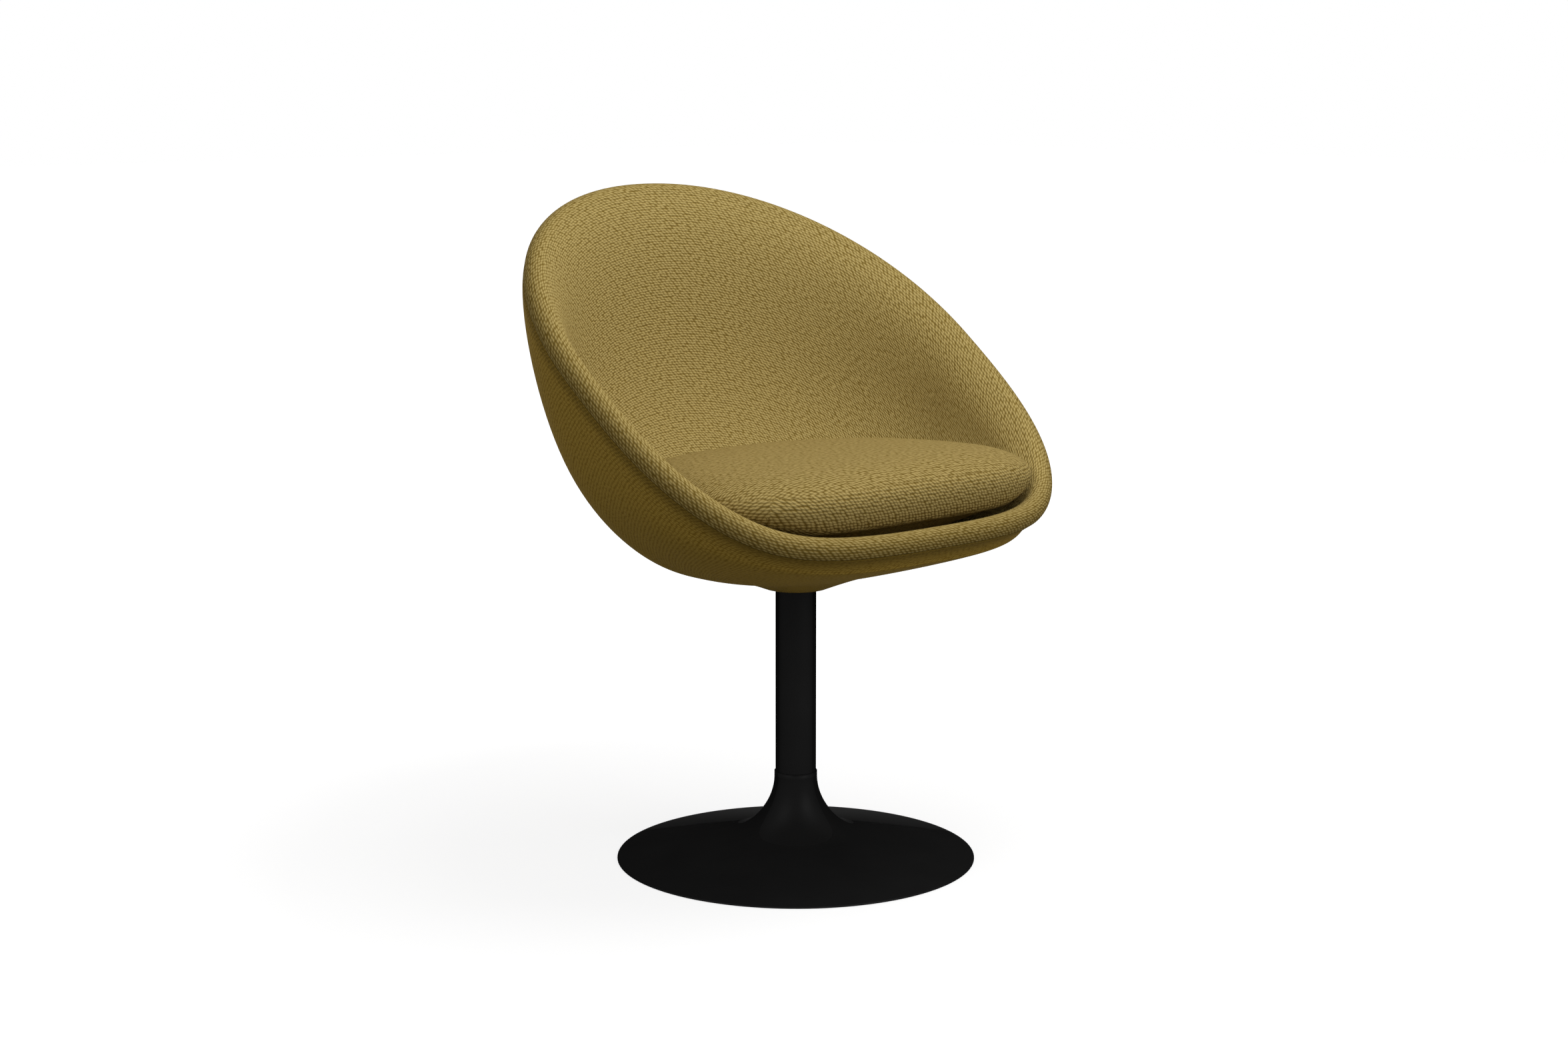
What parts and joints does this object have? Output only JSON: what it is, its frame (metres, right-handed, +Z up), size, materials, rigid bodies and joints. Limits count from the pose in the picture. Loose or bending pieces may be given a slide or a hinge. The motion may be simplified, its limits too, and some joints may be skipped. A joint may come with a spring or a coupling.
{
  "type": "swivel chair",
  "caption": "Upholstered tub chair with a rolled rim and a loose seat cushion that swivels on a slim column over a trumpet foot.",
  "frame": {"origin": "on the floor, on the swivel axis", "axes": "+Z up along the swivel axis, -Y the way the seat faces, X across the seat"},
  "size_m": [0.6352, 0.5327, 0.7964],
  "materials": {
    "floor_pad": "matte black rubber",
    "plain_steel": "plain zinc-plated steel",
    "black_coat": "fine satin black powder coat",
    "bearing_plastic": "natural nylon",
    "shell_plastic": "black moulded plastic",
    "foam": "pale cut foam",
    "inner_boucle": "nubbly olive-mustard boucle",
    "outer_boucle": "nubbly olive-mustard boucle",
    "cushion_boucle": "nubbly olive-mustard boucle",
    "zip": "olive coil zip"
  },
  "bodies": {
    "base": {"floor_pad": "floor_pad", "base_plate": "plain_steel", "column_tube": "black_coat", "trumpet_cover": "black_coat", "spindle_bushes": "bearing_plastic", "thrust_washer": "bearing_plastic"},
    "seat": {"spindle": "plain_steel", "retaining_nut": "plain_steel", "seat_plate": "black_coat", "plate_screws": "plain_steel", "captive_nuts": "plain_steel", "moulded_shell": "shell_plastic", "hub_former": "shell_plastic", "inner_foam": "foam", "inner_cover": "inner_boucle", "outer_cover": "outer_boucle", "tack_strip": "shell_plastic"},
    "cushion": {"cushion_foam": "foam", "cushion_cover": "cushion_boucle", "cushion_zip": "zip"}
  },
  "joints": [
    {"name": "seat_swivel", "type": "hinge", "parent": "base", "child": "seat", "pos_m": [0, 0, 0.337], "axis": [0, 0, 1], "continuous": true},
    {"name": "cushion_lift", "type": "slide", "parent": "seat", "child": "cushion", "axis": [0, 0, 1], "range_m": [0, 0.45]}
  ]
}
